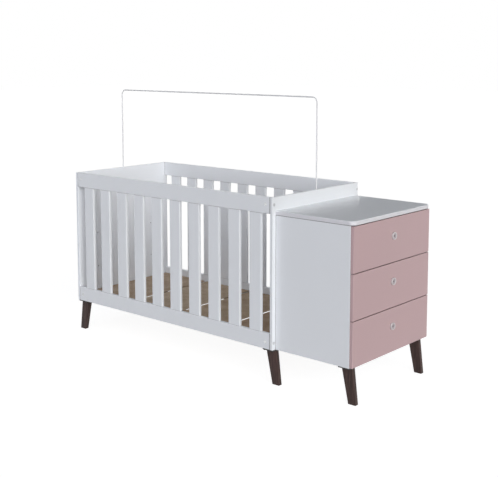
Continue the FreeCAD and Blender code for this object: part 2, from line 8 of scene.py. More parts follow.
# %% Load the CAD model
import json
import math
import bmesh
import bpy
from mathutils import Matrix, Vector


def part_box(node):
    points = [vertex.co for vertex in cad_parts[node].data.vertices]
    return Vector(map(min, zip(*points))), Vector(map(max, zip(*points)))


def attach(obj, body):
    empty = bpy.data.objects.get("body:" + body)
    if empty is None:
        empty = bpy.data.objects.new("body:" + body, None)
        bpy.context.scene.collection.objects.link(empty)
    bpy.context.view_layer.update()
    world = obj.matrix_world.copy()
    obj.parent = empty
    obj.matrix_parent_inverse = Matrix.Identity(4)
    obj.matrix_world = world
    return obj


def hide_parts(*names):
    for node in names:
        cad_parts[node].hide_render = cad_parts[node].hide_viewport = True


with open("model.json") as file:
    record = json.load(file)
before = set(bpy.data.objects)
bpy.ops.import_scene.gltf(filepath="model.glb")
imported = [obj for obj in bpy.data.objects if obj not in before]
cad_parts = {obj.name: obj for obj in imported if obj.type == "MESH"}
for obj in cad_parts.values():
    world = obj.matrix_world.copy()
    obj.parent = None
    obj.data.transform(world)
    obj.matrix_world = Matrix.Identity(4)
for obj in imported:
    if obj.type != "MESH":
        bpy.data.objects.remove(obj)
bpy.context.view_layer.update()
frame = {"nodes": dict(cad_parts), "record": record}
nodes = frame["nodes"]

# %% [markdown]
# The camera stands where the photographer stood. Its place was fitted to the crib's corners, whose sizes
# are known. The other way is to move a camera by eye until the edges agree, which takes longer and lands
# less exactly. The fit gives a focal length in pixels of a picture 498 wide, and the lens scales from it.
# A shift drops the frame a little, so that the uprights stay nearly parallel.

# %% Camera
PICTURE_WIDTH = 498
FOCAL_PIXELS = 944.17
SENSOR_WIDTH = 36.0
CAMERA_PLACE = (3.0182, -3.4163, 1.4541)
CAMERA_YAW = 130.965
CAMERA_PITCH = -6.650
CAMERA_SHIFT = -0.15


def direction(azimuth, height):
    """The unit vector at an angle from +X towards +Y and an angle above the horizon, in degrees."""
    round_z, up = math.radians(azimuth), math.radians(height)
    return Vector((math.cos(round_z) * math.cos(up), math.sin(round_z) * math.cos(up), math.sin(up)))


camera = bpy.data.objects.new("camera", bpy.data.cameras.new("camera"))
bpy.context.scene.collection.objects.link(camera)
camera.location = CAMERA_PLACE
camera.rotation_euler = direction(CAMERA_YAW, CAMERA_PITCH).to_track_quat("-Z", "Y").to_euler()
camera.data.sensor_fit = "HORIZONTAL"
camera.data.sensor_width = SENSOR_WIDTH
camera.data.lens = FOCAL_PIXELS / PICTURE_WIDTH * SENSOR_WIDTH
camera.data.shift_y = CAMERA_SHIFT
bpy.context.scene.camera = camera
print("lens", round(camera.data.lens, 2), "mm")

# %% [markdown]
# The light is that of a white studio. Wide suns act as large soft boxes: one faces the drawers, a strong
# one stands off the near corner, one grazes the long side and a weak one hangs overhead. Two narrow suns
# keep the back and the left end readable. They stay out of the line from the camera over the dresser, or
# its top would shine like water. The drawers' light is a little warm, and most others are a little cool.
# Area lamps would do as well, but they fall off with distance, and a wide sun doesn't.

# %% Light
SOFT_BOXES = [
    # name, azimuth from +X towards +Y, height above the horizon, width, strength, colour
    ("drawer_side_light", -10, 12, 36, 0.90, (0.98, 0.94, 0.85)),
    ("top_light", -10, 75, 60, 0.22, (0.94, 1.0, 1.06)),
    ("corner_light", -40, 15, 60, 2.44, (1.0, 1.0, 1.01)),
    ("long_side_light", -100, 10, 60, 0.48, (0.98, 1.0, 1.14)),
    ("back_light", 92, 4, 16, 1.20, (1.0, 1.0, 1.02)),
    ("left_end_light", 178, 4, 16, 1.30, (1.0, 1.0, 1.02)),
]
for name, azimuth, height, width, strength, colour in SOFT_BOXES:
    lamp = bpy.data.objects.new(name, bpy.data.lights.new(name, "SUN"))
    bpy.context.scene.collection.objects.link(lamp)
    lamp.rotation_euler = (-direction(azimuth, height)).to_track_quat("-Z", "Y").to_euler()
    lamp.data.angle = math.radians(width)
    lamp.data.energy = strength
    lamp.data.color = colour
bpy.context.scene.view_settings.view_transform = "Standard"
print("soft boxes:", len(SOFT_BOXES))

# %% [markdown]
# Finishes are built from nodes. Nodes can be laid out by hand in the shader editor, but a script does it
# the same way each time. These helpers add a node, start a finish and fill in its main shader, so that
# each finish below reads as a short list of what it is made of.

# %% Nodes and finishes
def add(tree, kind, inputs=None, **settings):
    """Add a shader node, set its settings and fill its inputs with values or links."""
    made = tree.nodes.new("ShaderNode" + kind)
    for key, value in settings.items():
        setattr(made, key, value)
    for key, value in (inputs or {}).items():
        if isinstance(value, bpy.types.NodeSocket):
            tree.links.new(value, made.inputs[key])
        else:
            made.inputs[key].default_value = value
    return made


def new_finish(name):
    """An empty finish: the material, its tree and its main shader."""
    finish = bpy.data.materials.new(name)
    finish.use_nodes = True
    return finish, finish.node_tree, finish.node_tree.nodes["Principled BSDF"]


def fill(shader, **values):
    """Set or link the main shader's sockets, underscores standing for spaces."""
    tree = shader.id_data
    for key, value in values.items():
        socket = shader.inputs[key.replace("_", " ")]
        if isinstance(value, bpy.types.NodeSocket):
            tree.links.new(value, socket)
        else:
            socket.default_value = value


print("helpers for nodes ready")

# %% [markdown]
# A finish has to know where on the piece it is. It reads the piece's own coordinates, which are in metres,
# so that a size in a pattern means the same on every piece. Unfolding each piece onto a flat map is the
# other way, and it would leave seams.

# %% Places and arithmetic
def place(tree, scale=(1, 1, 1), turn=(0, 0, 0), move=(0, 0, 0)):
    """The piece's own coordinates, in metres, stretched, turned or moved."""
    own = add(tree, "TexCoord").outputs["Object"]
    values = {"Vector": own, "Scale": scale, "Rotation": turn, "Location": move}
    return add(tree, "Mapping", values).outputs[0]


def coordinate(tree, vector, axis):
    """One coordinate of a vector."""
    return add(tree, "SeparateXYZ", {"Vector": vector}).outputs[axis]


def compute(tree, operation, *values):
    """One step of arithmetic."""
    return add(tree, "Math", dict(enumerate(values)), operation=operation).outputs[0]


print("helpers for places ready")

# %% [markdown]
# Most real surfaces are a soft irregular pattern, which a noise gives. A ramp turns the noise into colours,
# a spread turns it into a roughness and a bump into waves. Colours that lie over each other multiply, as
# glazes do. The noise rarely leaves the middle of its range, so the ramps start and end there.

# %% Patterns and colours
NOISE_LOW, NOISE_HIGH = 0.3, 0.7
MIX_FACTOR, MIX_FIRST, MIX_SECOND, MIX_RESULT = 0, 6, 7, 2
UNCHANGED = (1, 1, 1)


def noise(tree, vector, scale, detail=2.0, roughness=0.5, distortion=0.0):
    """Soft noise, nearly all of it between NOISE_LOW and NOISE_HIGH."""
    values = {"Vector": vector, "Scale": scale, "Detail": detail, "Roughness": roughness,
              "Distortion": distortion}
    return add(tree, "TexNoise", values).outputs[0]


def ramp(tree, factor, stops, between="LINEAR"):
    """Colours along a factor, as (position, colour) pairs."""
    made = add(tree, "ValToRGB", {"Fac": factor})
    made.color_ramp.interpolation = between
    points = made.color_ramp.elements
    while len(points) < len(stops):
        points.new(1.0)
    for point, (position, colour) in zip(points, stops):
        point.position = position
        point.color = (*colour, 1.0)
    return made.outputs[0]


def spread(tree, factor, low, high, from_low=NOISE_LOW, from_high=NOISE_HIGH):
    """Map a factor's range onto another, as a noise onto roughness."""
    values = {"Value": factor, "From Min": from_low, "From Max": from_high, "To Min": low, "To Max": high}
    return add(tree, "MapRange", values).outputs[0]


def multiply(tree, first, second):
    """Darken one colour by another. Sockets of one name need their numbers in the Mix node."""
    values = {MIX_FACTOR: 1.0, MIX_FIRST: first, MIX_SECOND: second}
    return add(tree, "Mix", values, data_type="RGBA", blend_type="MULTIPLY").outputs[MIX_RESULT]


def bump(tree, height, depth, under=None):
    """Waves of a depth in metres, perhaps on top of other waves."""
    values = {"Height": height, "Distance": depth, "Strength": 1.0}
    if under is not None:
        values["Normal"] = under
    return add(tree, "Bump", values).outputs[0]


def scaled(colour, share):
    """A darker or paler version of a colour."""
    return [part * share for part in colour]


print("noise range:", NOISE_LOW, "to", NOISE_HIGH)

# %% [markdown]
# A drilled hole shows raw board, and its walls lie in shade. The finish paints both as one dark tone where a
# few millimetres of wall close a place in, which the Ambient Occlusion node finds: partly board colour and
# partly painted shade. Where two boards meet flush, the bare edge and the glue leave a hairline, and the dark
# line painted there is partly painted shade between the parts. No wall is there to find, so the finish takes
# a list of planes and darkens the lacquer for a millimetre beside them. Grooves could be modelled instead,
# but they would be finer than the boards' own rounded edges.

# %% Holes and seams
HOLE_REACH = 0.008
# Raw board tone and painted shade for the walls of holes.
HOLE_BOARD_AND_SHADE_TONE = (0.20, 0.16, 0.16)
HOLE_CLOSED, HOLE_OPEN = 0.22, 0.47
SEAM_WIDTH = 0.0018
SEAM_SOFTNESS = 0.3
# A dark hairline at seams: partly a joint line, partly painted shade.
SEAM_LINE_AND_SHADE_TONE = (0.24, 0.21, 0.21)


def hole_board_and_painted_shade(tree):
    """Raw board tone and painted shade inside holes, and no change on open surfaces."""
    openness = add(tree, "AmbientOcclusion", {"Distance": HOLE_REACH}, samples=8).outputs["AO"]
    return ramp(tree, openness, [(HOLE_CLOSED, HOLE_BOARD_AND_SHADE_TONE), (HOLE_OPEN, UNCHANGED)])


def seam_line_and_painted_shade(tree, axis, level, tone):
    """A dark line beside a plane across one axis, partly a joint and partly painted shade, and no change
    elsewhere.
    """
    offset = compute(tree, "SUBTRACT", coordinate(tree, place(tree), axis), level)
    distance = compute(tree, "ABSOLUTE", offset)
    dark, clear = SEAM_WIDTH * (1 - SEAM_SOFTNESS), SEAM_WIDTH * (1 + SEAM_SOFTNESS)
    return ramp(tree, spread(tree, distance, 0.0, 1.0, dark, clear), [(0.0, tone), (1.0, UNCHANGED)])


print("hole reach:", HOLE_REACH, "seam width:", SEAM_WIDTH)

# %% [markdown]
# Sprayed lacquer on board is never a flat colour. Its film is a shade thicker here and thinner there, it
# has the fine waves that painters call orange peel, and its sheen varies a little. Three noises give that:
# one as large as a panel for the shade, and two fine ones for the waves and the grit on them. A plain
# colour with one roughness is quicker, but it looks like plastic.

# %% Lacquers
WHITE = (0.80, 0.825, 0.86)
ROSE = (0.515, 0.360, 0.376)
DRAWER_WHITE = (0.80, 0.80, 0.79)
TRAY_WHITE = (0.74, 0.74, 0.72)
SHADE_SCALE = 2.3
SHADE_DARKEST = 0.975
PEEL_SCALE = 420
PEEL_DEPTH = 0.00003
GRIT_SCALE = 2600
GRIT_DEPTH = 0.000006


def lacquer(name, colour, roughness=0.38, gloss=0.5, seams=(), seam_line_and_shade_tone=SEAM_LINE_AND_SHADE_TONE):
    """Sprayed lacquer with raw board and painted shade in holes, and at each seam, given as its axis and
    level, a dark hairline that is partly painted shade.
    """
    finish, tree, shader = new_finish(name)
    where = place(tree)
    shade = noise(tree, where, SHADE_SCALE)
    tone = ramp(tree, shade, [(NOISE_LOW, scaled(colour, SHADE_DARKEST)), (NOISE_HIGH, colour)])
    # Raw board tone and painted shade in holes.
    tone = multiply(tree, tone, hole_board_and_painted_shade(tree))
    # Dark seam lines, partly painted shade.
    for axis, level in seams:
        tone = multiply(tree, tone, seam_line_and_painted_shade(tree, axis, level, seam_line_and_shade_tone))
    waves = bump(tree, noise(tree, where, PEEL_SCALE), PEEL_DEPTH)
    grit = noise(tree, where, GRIT_SCALE, detail=1.0)
    smooth, dull = roughness - 0.03, roughness + 0.04
    fill(shader, Base_Color=tone, Roughness=spread(tree, shade, smooth, dull),
         Specular_IOR_Level=gloss, Normal=bump(tree, grit, GRIT_DEPTH, waves))
    return finish


finishes = {
    "white_lacquer": lacquer("white_lacquer", WHITE),
    "white_gloss": lacquer("white_gloss", WHITE, roughness=0.20, gloss=0.12),
    "rose_lacquer": lacquer("rose_lacquer", ROSE),
    "drawer_board": lacquer("drawer_board", DRAWER_WHITE, roughness=0.5, gloss=0.4),
    "tray_board": lacquer("tray_board", TRAY_WHITE, roughness=0.55, gloss=0.3),
}
print("lacquers:", sorted(finishes))

# %% [markdown]
# The rails meet the end panels flush, and the dresser's sides meet its top and the crib's panel flush, so
# their lacquer gets a dark hairline there, partly a joint line and partly painted shade between the parts.
# The slats stand in mortises, where the line is fainter. The left panel's white is painted a little paler, as
# painted light. A map painted for each board would do too, but the same lacquer with other values is less
# work and stays sharp at any size.

# %% Boards with seams
# The left panel's white is painted paler, as painted light.
PAINTED_LIGHT_WHITE = (0.85, 0.88, 0.93)
# The slats' seam line is fainter, and it too is partly painted shade.
SLAT_JOINT_AND_SHADE_TONE = (0.60, 0.57, 0.57)

rail_low, rail_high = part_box("front_top_rail")
bottom_rail_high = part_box("front_bottom_rail")[1]
top_low, top_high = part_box("dresser_top")
rail_seams = (("X", rail_low[0]), ("X", rail_high[0]))
slat_seams = (("Z", rail_low[2]), ("Z", bottom_rail_high[2]))
side_seams = (("Z", top_low[2]), ("X", top_low[0]))
rail_lacquer = lacquer("rail_lacquer", WHITE, seams=rail_seams)
slat_lacquer = lacquer("slat_lacquer", WHITE, seams=slat_seams, seam_line_and_shade_tone=SLAT_JOINT_AND_SHADE_TONE)
side_lacquer = lacquer("side_lacquer", WHITE, seams=side_seams)
own_finishes = {
    "left_end_panel": lacquer("painted_light_lacquer", PAINTED_LIGHT_WHITE),
    "front_top_rail": rail_lacquer, "front_bottom_rail": rail_lacquer,
    "back_top_rail": rail_lacquer, "back_bottom_rail": rail_lacquer,
    "front_slats": slat_lacquer, "back_slats": slat_lacquer,
    "dresser_front_side": side_lacquer, "dresser_back_side": side_lacquer,
}
print("boards with a lacquer of their own:", sorted(own_finishes))

# %% [markdown]
# The dresser's top is glossier than the rest, but not evenly. Seen at a flat angle even a little gloss
# mirrors the panel beside it. That mirror image is made to fade along the board and end at a slanted line,
# so the gloss falls along a ramp and stops at a plane that leans across the board. The top's sideways-facing
# edges are painted a shade darker, as painted shade; the surface's own direction tells them from the top. The
# edges could be a band of their own, but here they are only a painted tone on the same board.

# %% Dresser top
TOP_GLOSS = ((0.0, 0.30), (0.17, 0.22), (0.29, 0.03), (0.42, 0.006), (0.56, 0.0008), (1.0, 0.0002))
GLOSS_SLANT = 0.68
GLOSS_EDGE = 0.012
# Painted shade on the top's sideways-facing edges.
SIDE_PAINTED_SHADE_TONE = (0.95, 0.92, 0.93)
FACING_SIDEWAYS, FACING_UP = 0.2, 0.6


def dress_top(finish):
    """Fade the gloss of the dresser's top away from the panel, and paint shade on its sideways-facing edges.
    """
    tree = finish.node_tree
    shader = tree.nodes["Principled BSDF"]
    parts = add(tree, "SeparateXYZ", {"Vector": place(tree)}).outputs
    share = spread(tree, parts["X"], 0.0, 1.0, top_low[0], top_high[0])
    gloss = ramp(tree, share, [(position, (level, level, level)) for position, level in TOP_GLOSS])
    slanted = compute(tree, "MULTIPLY_ADD", parts["Y"], GLOSS_SLANT, parts["X"])
    edge = top_low[0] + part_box("shared_end_panel")[1][1] * GLOSS_SLANT
    inside = spread(tree, slanted, 1.0, 0.0, edge - GLOSS_EDGE, edge + GLOSS_EDGE)
    # Faces that look sideways get painted shade.
    facing = add(tree, "NewGeometry").outputs["True Normal"]
    upward = compute(tree, "ABSOLUTE", coordinate(tree, facing, "Z"))
    painted_side_shade = ramp(tree, upward, [(FACING_SIDEWAYS, SIDE_PAINTED_SHADE_TONE), (FACING_UP, UNCHANGED)])
    tone = shader.inputs["Base Color"].links[0].from_socket
    fill(shader, Specular_IOR_Level=multiply(tree, gloss, inside), Base_Color=multiply(tree, tone, painted_side_shade))


dress_top(finishes["white_gloss"])
print("gloss stops on the dresser's top:", len(TOP_GLOSS))

# %% [markdown]
# The legs are stained wood. Growth rings run up the leg as long soft bands, and pores cut short dark
# streaks between them. A noise squeezed along one axis gives both, at two sizes. The pattern is turned to
# lean with each leg and moved to another place, as if each were sawn from another part of the board. A
# photo of wood wrapped round the legs would look the same on all six. The legs nearer the drawers are
# painted a little paler, as painted light.

# %% Stained legs
GRAIN_STRETCH = 0.06
RING_SCALE = 110
FIBRE_SCALE = 900
RING_STOPS = (0.30, 0.52, 0.72)
PORE_STOPS = (0.34, 0.52)
PORE_TONE = (0.45, 0.45, 0.45)
PORE_DEPTH = 0.00012
LEG_SPLAY = 0.019
LEG_TONES = ((0.022, 0.011, 0.009), (0.043, 0.023, 0.020), (0.066, 0.037, 0.032))
LEG_PLACES = [
    # place along the crib, way of the lean, how much paler as painted light
    ("left", 1, 1.0),
    ("middle", -1, 1.17),
    ("right", -1, 1.25),
]
BACK_LEG_MOVE = 5.0


def wood(name, tones, along="Z", turn=0.0, move=0.0, roughness=0.45, gloss=0.4):
    """Bare or stained wood in a dark, a middle and a light tone, with its grain along X or Z."""
    finish, tree, shader = new_finish(name)
    stretch = (GRAIN_STRETCH, 1, 1) if along == "X" else (1, 1, GRAIN_STRETCH)
    where = place(tree, stretch, (0, turn, 0), (move, move * 0.7, move * 0.3))
    rings = noise(tree, where, RING_SCALE, distortion=0.8)
    fibres = noise(tree, where, FIBRE_SCALE, detail=3.0, roughness=0.65)
    tone = ramp(tree, rings, list(zip(RING_STOPS, tones)))
    pores = ramp(tree, fibres, list(zip(PORE_STOPS, (PORE_TONE, UNCHANGED))))
    smooth, dull = roughness - 0.05, roughness + 0.08
    fill(shader, Base_Color=multiply(tree, tone, pores), Roughness=spread(tree, fibres, dull, smooth),
         Specular_IOR_Level=gloss, Normal=bump(tree, fibres, PORE_DEPTH))
    return finish


leg_low, leg_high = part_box("front_middle_leg")
leg_height = leg_high[2] - leg_low[2]
leg_lean = math.atan(LEG_SPLAY / leg_height)
for index, (place_name, lean, paler_as_painted_light) in enumerate(LEG_PLACES):
    # The legs nearer the drawers are painted paler, as painted light.
    tones = [scaled(tone, paler_as_painted_light) for tone in LEG_TONES]
    for side, offset in (("front", 0.0), ("back", BACK_LEG_MOVE)):
        own_finishes[f"{side}_{place_name}_leg"] = wood(
            f"dark_wood_{side}_{place_name}", tones, turn=lean * leg_lean, move=index + offset, gloss=0.25)
print("leg lean:", round(math.degrees(leg_lean), 1), "degrees")

# %% [markdown]
# The dowels are beech and the bearers under the mattress are pine, both bare. They hardly show, so they
# need no nodes of their own: the same helper makes them with paler tones, a duller surface and the grain
# along the crib.

# %% Bare woods
BEECH_TONES = ((0.50, 0.33, 0.18), (0.60, 0.42, 0.25), (0.68, 0.50, 0.32))
PINE_TONES = ((0.34, 0.22, 0.12), (0.46, 0.32, 0.19), (0.55, 0.41, 0.26))

finishes["beech"] = wood("beech", BEECH_TONES, along="X", move=3, roughness=0.6)
finishes["bearer_wood"] = wood("bearer_wood", PINE_TONES, along="X", move=8, roughness=0.65)
print("shared finishes:", len(finishes), "own finishes:", len(own_finishes))

# %% [markdown]
# The mattress lies on boards of brown hardboard, which is pressed wood fibre: no grain, only a fine mottle
# with darker flecks, and a dull surface. Each board is painted a slightly different brown, as painted light
# and shade: lighter towards the middle of the crib, darker towards its ends. They are one piece in the
# model, so they can't have a finish each. A ramp without blending gives each board its painted light by its
# place along the crib.

# %% Hardboard
BOARD_DARK, BOARD_LIGHT = (0.53, 0.395, 0.28), (0.69, 0.555, 0.415)
# Painted light and shade: one brightness for each board along the crib.
BOARD_PAINTED_LIGHT_STEPS = ((0.88, 0.86, 0.86), (1.0, 1.0, 1.0), (0.95, 0.92, 0.89), (0.86, 0.79, 0.75))
MOTTLE_SCALE = 16
FLECK_SCALE = 650
FLECK_STOPS = (0.32, 0.55)
FLECK_TONE = (0.70, 0.68, 0.66)
FLECK_DEPTH = 0.00015

finish, tree, shader = new_finish("base_board")
where = place(tree)
mottle = noise(tree, where, MOTTLE_SCALE, detail=3.0, roughness=0.6)
flecks = noise(tree, where, FLECK_SCALE, detail=4.0, roughness=0.7)
tone = ramp(tree, mottle, [(NOISE_LOW, BOARD_DARK), (NOISE_HIGH, BOARD_LIGHT)])
boards_low, boards_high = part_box("base_boards")
share = spread(tree, coordinate(tree, where, "X"), 0.0, 1.0, boards_low[0], boards_high[0])
# Each board gets a step of painted light or shade by its place.
steps = [(index / len(BOARD_PAINTED_LIGHT_STEPS), shade) for index, shade in enumerate(BOARD_PAINTED_LIGHT_STEPS)]
tone = multiply(tree, tone, ramp(tree, share, steps, "CONSTANT"))
tone = multiply(tree, tone, ramp(tree, flecks, list(zip(FLECK_STOPS, (FLECK_TONE, UNCHANGED)))))
fill(shader, Base_Color=tone, Roughness=0.75, Specular_IOR_Level=0.1,
     Normal=bump(tree, flecks, FLECK_DEPTH))
finishes["base_board"] = finish
print("board shades:", len(BOARD_PAINTED_LIGHT_STEPS))

# %% [markdown]
# Metals reflect instead of showing a paint colour, so their base colour is the tint of the reflection.
# Zinc has a cloudy crystal pattern. The plates and the rod are painted, which is a paint colour with a
# fine grain. The screws that go up beside the legs are blackened, so that they vanish in their plates.
# Scratches and brush lines could be laid over each of these, but such small parts wouldn't show them.

# %% Metals and painted metals
ZINC = (0.70, 0.71, 0.72)
KNOB_METAL = (0.60, 0.54, 0.56)
BLACK_PAINT = (0.022, 0.020, 0.020)
BLACKENED_ZINC = (0.030, 0.028, 0.028)
ENAMEL = (0.77, 0.78, 0.80)
METAL_DARKEST = 0.88
PAINT_DARKEST = 0.85
PAINT_STOPS = (0.35, 0.65)
PAINT_GRAIN_SCALE = 1500
PAINT_GRAIN_DEPTH = 0.00002


def metal(name, colour, roughness, cloud_scale, cloud_depth):
    """Bare metal with a cloudy surface."""
    finish, tree, shader = new_finish(name)
    clouds = noise(tree, place(tree), cloud_scale, detail=3.0, roughness=0.6)
    tone = ramp(tree, clouds, [(NOISE_LOW, scaled(colour, METAL_DARKEST)), (NOISE_HIGH, colour)])
    smooth, dull = roughness - 0.05, roughness + 0.07
    fill(shader, Base_Color=tone, Metallic=1.0, Roughness=spread(tree, clouds, smooth, dull),
         Normal=bump(tree, clouds, cloud_depth))
    return finish


def paint(name, colour, roughness):
    """Paint on metal, with a fine grain."""
    finish, tree, shader = new_finish(name)
    grain = noise(tree, place(tree), PAINT_GRAIN_SCALE)
    tone = ramp(tree, grain, list(zip(PAINT_STOPS, (scaled(colour, PAINT_DARKEST), colour))))
    smooth, dull = roughness - 0.04, roughness + 0.05
    fill(shader, Base_Color=tone, Roughness=spread(tree, grain, smooth, dull),
         Normal=bump(tree, grain, PAINT_GRAIN_DEPTH))
    return finish


finishes["zinc"] = metal("zinc", ZINC, roughness=0.36, cloud_scale=300, cloud_depth=0.00002)
finishes["knob_metal"] = metal("knob_metal", KNOB_METAL, roughness=0.28, cloud_scale=900, cloud_depth=0.00001)
finishes["black_plate"] = paint("black_plate", BLACK_PAINT, roughness=0.5)
finishes["rod_enamel"] = paint("rod_enamel", ENAMEL, roughness=0.3)
own_finishes["leg_screws"] = paint("blackened_zinc", BLACKENED_ZINC, roughness=0.4)
print("finishes:", len(finishes))

# %% [markdown]
# Each CAD node says in the record which finish it takes, so one loop dresses them all, and a list of names
# here would only repeat the record. The legs, the boards with seams, the panel painted paler as painted light
# and the leg screws take a finish of their own instead.

# %% Dress the CAD nodes
slots = {part["node"]: part["material_slot"] for part in frame["record"]["subparts"]}
for name, node in nodes.items():
    node.data.materials.clear()
    node.data.materials.append(own_finishes.get(name) or finishes[slots[name]])
print("dressed:", len(nodes))

# %% [markdown]
# Three kinds of piece are modelled here by hand: the turned knobs, the sawn and rounded legs, and the bent
# rod. All start from a primitive that is shaped in edit mode. These helpers start a piece, pick its faces or
# edges by where they are, as the mouse would, and extrude them. The other way is to write the vertices down
# as numbers, which is harder to read and to change.

# %% Start, pick and push
NEAR = 0.0001
FACING = 0.9


def start(name, primitive, **settings):
    """Add a primitive under a plain name, with its place in its mesh, and open it in edit mode."""
    bpy.ops.object.select_all(action="DESELECT")
    getattr(bpy.ops.mesh, "primitive_" + primitive + "_add")(**settings)
    piece = bpy.context.object
    piece.name = piece.data.name = name
    bpy.ops.object.transform_apply(location=True, rotation=True, scale=True)
    bpy.ops.object.mode_set(mode="EDIT")
    return piece


def pick(piece, kind, wanted):
    """Select the faces or edges whose middle and direction pass a test, and count them."""
    bpy.ops.mesh.select_mode(type=kind)
    bpy.ops.mesh.select_all(action="DESELECT")
    mesh = bmesh.from_edit_mesh(piece.data)
    mesh.normal_update()
    count = 0
    for part in mesh.faces if kind == "FACE" else mesh.edges:
        if kind == "FACE":
            middle, along = part.calc_center_median(), part.normal
        else:
            first, second = (vertex.co for vertex in part.verts)
            middle, along = (first + second) / 2, second - first
        if wanted(middle, along):
            part.select_set(True)
            count += 1
    # Flushing by mode adds no edge that merely joins two picked ones, as select_flush would.
    mesh.select_flush_mode()
    bmesh.update_edit_mesh(piece.data)
    return count


def push(x=0.0, y=0.0, z=0.0):
    """Extrude what is selected by a step."""
    bpy.ops.mesh.extrude_region_move(TRANSFORM_OT_translate={"value": (x, y, z)})


print("helpers for shaping ready")

# %% [markdown]
# A piece is closed when its corners are merged, its faces look outwards and its round parts are smooth.
# Pieces that are alike are copies of one mesh, moved and perhaps mirrored. Mirroring turns a mesh inside
# out, so its faces are turned back. Copies that share one mesh would save memory, but they would share its
# finish too.

# %% Close and copy
MERGE_DISTANCE = 0.000005


def give(piece, finish):
    """Take off what a piece wears and give it one finish."""
    piece.data.materials.clear()
    piece.data.materials.append(finish)


def close(piece, finish, sharp=30):
    """Merge, turn the faces outwards, leave edit mode, smooth the round parts and give the finish."""
    bpy.ops.mesh.select_all(action="SELECT")
    bpy.ops.mesh.remove_doubles(threshold=MERGE_DISTANCE)
    bpy.ops.mesh.normals_make_consistent(inside=False)
    bpy.ops.object.mode_set(mode="OBJECT")
    bpy.ops.object.shade_smooth_by_angle(angle=math.radians(sharp))
    give(piece, finish)


def copy_piece(piece, name, finish, move=(0, 0, 0), mirror=False):
    """A copy with its own mesh, moved and perhaps mirrored along the crib, with its faces outwards."""
    bpy.ops.object.select_all(action="DESELECT")
    twin = piece.copy()
    twin.data = piece.data.copy()
    twin.name = twin.data.name = name
    bpy.context.scene.collection.objects.link(twin)
    bpy.context.view_layer.objects.active = twin
    twin.select_set(True)
    give(twin, finish)
    bpy.ops.object.mode_set(mode="EDIT")
    bpy.ops.mesh.select_all(action="SELECT")
    if mirror:
        bpy.ops.transform.resize(value=(-1, 1, 1), center_override=(0, 0, 0))
        bpy.ops.mesh.normals_make_consistent(inside=False)
    bpy.ops.transform.translate(value=move)
    bpy.ops.object.mode_set(mode="OBJECT")
    return twin


print("helpers for closing and copying ready")

# %% [markdown]
# A knob's body has a pale satin coat. Its dish is tinted, and the hollow in the middle is painted dark as
# painted shade, so the finish reads how far a point is from the knob's axis, and the lathe's fine rings read
# the same distance. Three finishes on three sets of faces would do too, but their borders would be hard. The
# wave texture repeats every 0.314 at a scale of 1, which sets the scale for a ring's width.

# %% Knob finish
KNOB_RADIUS = 0.016
KNOB_RIM_WIDTH = 0.003
KNOB_RIM_HEIGHT = 0.0065
KNOB_FLARE = 0.0008
KNOB_NECK = 0.0007
KNOB_HOLLOW_RADIUS = 0.0038
# Painted shade in the knob's hollow.
HOLLOW_PAINTED_SHADE_TONE = (0.07, 0.06, 0.065)
HOLLOW_BLUR = (-0.03, 0.02)
DISH_TONE, DISH_EDGE_TONE = (0.40, 0.355, 0.375), (0.45, 0.40, 0.42)
DISH_BLUR = (-0.02, 0.01)
RIM_TONE = (0.66, 0.64, 0.65)
COAT_CLOUD_SCALE = 900
COAT_CLOUD_TONE = (0.93, 0.93, 0.93)
WAVE_PERIOD = 0.314
LATHE_RING_WIDTH = 0.0005
LATHE_RING_DEPTH = 0.000008

dish_radius = KNOB_RADIUS - KNOB_RIM_WIDTH
knob_boxes = {level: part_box(level + "_drawer_knob") for level in ("bottom", "middle", "top")}
knob_heights = {level: (low[2] + high[2]) / 2 for level, (low, high) in knob_boxes.items()}
knob_z = knob_heights["bottom"]
front_x = knob_boxes["bottom"][1][0]
face_x = front_x - KNOB_NECK - KNOB_FLARE - KNOB_RIM_HEIGHT


def knob_finish(name, height):
    """A satin coat with a tinted dish and painted shade in its hollow, round an axis at a height."""
    finish, tree, shader = new_finish(name)
    centred = place(tree, move=(-face_x, 0, -height))
    across = add(tree, "VectorMath", {0: centred, 1: (0, 1, 1)}, operation="MULTIPLY").outputs[0]
    distance = add(tree, "VectorMath", {0: across}, operation="LENGTH").outputs["Value"]
    share = spread(tree, distance, 0.0, 1.0, 0.0, KNOB_RADIUS)
    hollow, dish = KNOB_HOLLOW_RADIUS / KNOB_RADIUS, dish_radius / KNOB_RADIUS
    stops = [hollow + blur for blur in HOLLOW_BLUR] + [dish + blur for blur in DISH_BLUR]
    tone = ramp(tree, share, list(zip(stops, (HOLLOW_PAINTED_SHADE_TONE, DISH_TONE, DISH_EDGE_TONE, RIM_TONE))))
    clouds = noise(tree, place(tree), COAT_CLOUD_SCALE, detail=3.0, roughness=0.6)
    speckle = ramp(tree, clouds, [(NOISE_LOW, COAT_CLOUD_TONE), (NOISE_HIGH, UNCHANGED)])
    values = {"Vector": centred, "Scale": WAVE_PERIOD / LATHE_RING_WIDTH, "Distortion": 0.6, "Detail": 1.0}
    rings = add(tree, "TexWave", values, wave_type="RINGS", rings_direction="X").outputs[0]
    fill(shader, Base_Color=multiply(tree, tone, speckle), Metallic=0.35,
         Roughness=spread(tree, clouds, 0.30, 0.40), Normal=bump(tree, rings, LATHE_RING_DEPTH))
    return finish


knob_finishes = {level: knob_finish("knob_metal_" + level, z) for level, z in knob_heights.items()}
print("knob finishes:", len(knob_finishes), "at heights", [round(z, 3) for z in knob_heights.values()])

# %% [markdown]
# A knob is turned from a bar on a lathe: a short neck, a flare, a deep rim, a shallow dish in its face and
# a small hollow in the middle. It could be a profile spun round an axis. Growing it from its neck, ring by
# ring, shows each step of the lathe: extrude, widen, extrude, inset, sink, and last the edges are broken.

